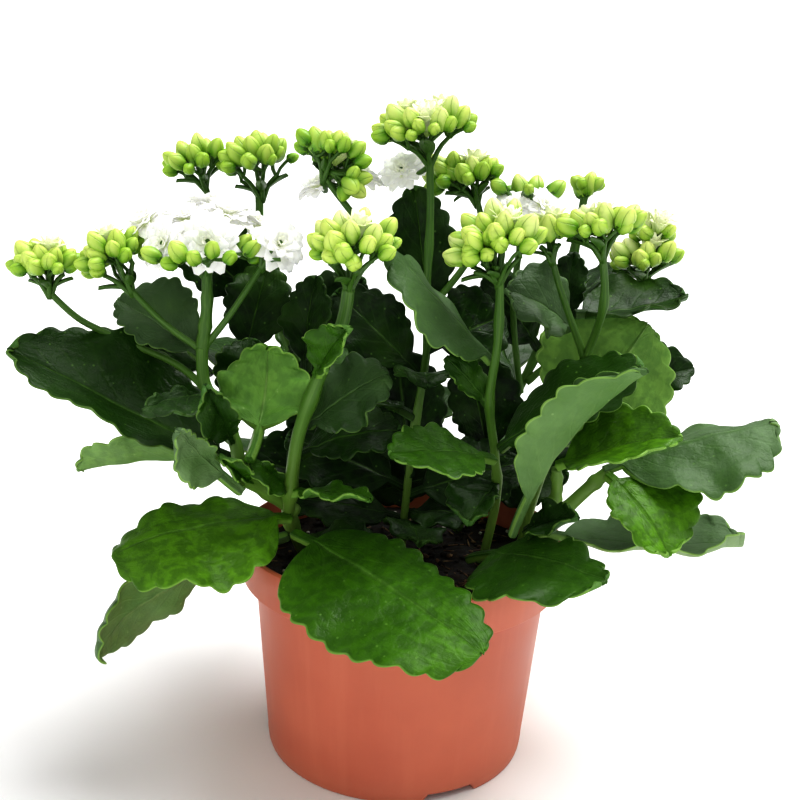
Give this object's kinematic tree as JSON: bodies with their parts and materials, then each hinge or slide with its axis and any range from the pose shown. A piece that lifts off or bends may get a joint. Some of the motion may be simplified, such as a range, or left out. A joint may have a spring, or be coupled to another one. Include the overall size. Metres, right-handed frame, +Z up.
{
  "type": "potted kalanchoe plant",
  "caption": "bushy succulent houseplant with scalloped fleshy leaves, clusters of flower buds and double blooms on upright stalks, growing in a plain round nursery pot with a stepped collar",
  "frame": {"origin": "on the floor, in the middle of the pot's round foot, which is also the middle of the plant's spread", "axes": "+X to the plant's right as it faces the viewer, +Y to its back, +Z up; the widest spread of the leaves is along X"},
  "size_m": [0.2609, 0.1888, 0.2374],
  "materials": {
    "pot_plastic": "satin",
    "peat": "matte",
    "stem": "satin",
    "foliage": "satin",
    "blossom": "matte"
  },
  "bodies": {
    "root": {"pot": "pot_plastic", "potting_soil": "peat", "shoot_left": "stem", "shoot_centre": "stem", "shoot_centre_right": "stem", "shoot_right": "stem", "shoot_right_low": "stem", "shoot_back_left": "stem", "shoot_back_right": "stem", "leaf_left_long": "foliage", "leaf_left_behind": "foliage", "leaf_front_left": "foliage", "leaf_low_left": "foliage", "leaf_front_centre": "foliage", "leaf_front_right": "foliage", "leaf_right_low": "foliage", "leaf_right_ribbed": "foliage", "leaf_right_drooping": "foliage", "leaf_right_bright": "foliage", "leaf_right_folded": "foliage", "leaf_right_scalloped": "foliage", "leaf_centre_front": "foliage", "leaf_right_upper": "foliage", "leaf_right_top": "foliage", "leaf_right_back": "foliage", "leaf_centre_right": "foliage", "leaf_back_right_top": "foliage", "leaf_centre_grey": "foliage", "leaf_back_upright": "foliage", "leaf_left_rolled": "foliage", "leaf_left_rolled_behind": "foliage", "leaf_centre_rolled": "foliage", "leaf_dark_left": "foliage", "leaf_dark_back_left": "foliage", "leaf_dark_centre_left": "foliage", "leaf_centre_upper": "foliage", "leaf_centre_large": "foliage", "leaf_centre_small": "foliage", "leaf_left_upright": "foliage", "leaf_left_dark_small": "foliage", "leaf_left_dull": "foliage", "leaf_left_grey": "foliage", "leaf_right_rim": "foliage", "leaf_back_left_low": "foliage", "leaf_back_right_low": "foliage", "head_far_left": "blossom", "head_left": "blossom", "head_left_white": "blossom", "head_left_inner": "blossom", "head_back_left": "blossom", "head_back_centre": "blossom", "head_top": "blossom", "head_back_right": "blossom", "head_back_far_right": "blossom", "head_front": "blossom", "head_front_right": "blossom", "head_right_inner": "blossom", "head_right": "blossom", "head_right_low": "blossom", "head_far_back": "blossom"}
  },
  "joints": []
}
